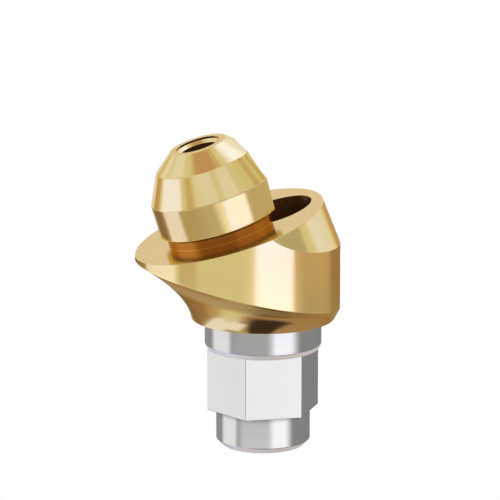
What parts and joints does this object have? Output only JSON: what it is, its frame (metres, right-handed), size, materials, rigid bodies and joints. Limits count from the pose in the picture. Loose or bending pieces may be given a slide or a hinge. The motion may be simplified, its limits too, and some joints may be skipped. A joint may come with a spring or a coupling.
{
  "type": "angled screw-retained dental abutment",
  "caption": "Angled dental abutment: leaning tapered head with a screw hole, sloping round platform, flared gum body and hexagonal connection.",
  "frame": {"origin": "on the implant's axis, at the plane where the shoulder seats on the implant", "axes": "+Z along the implant's axis, out of the jaw; the head leans 17 degrees towards -X"},
  "size_m": [0.005, 0.0048, 0.0077],
  "materials": {
    "gold_coated_titanium": "polished, with a thin gold-coloured coating on titanium alloy",
    "bare_titanium": "bright turned and milled titanium alloy, uncoated"
  },
  "bodies": {
    "root": {"abutment_body": "gold_coated_titanium"}
  },
  "joints": []
}
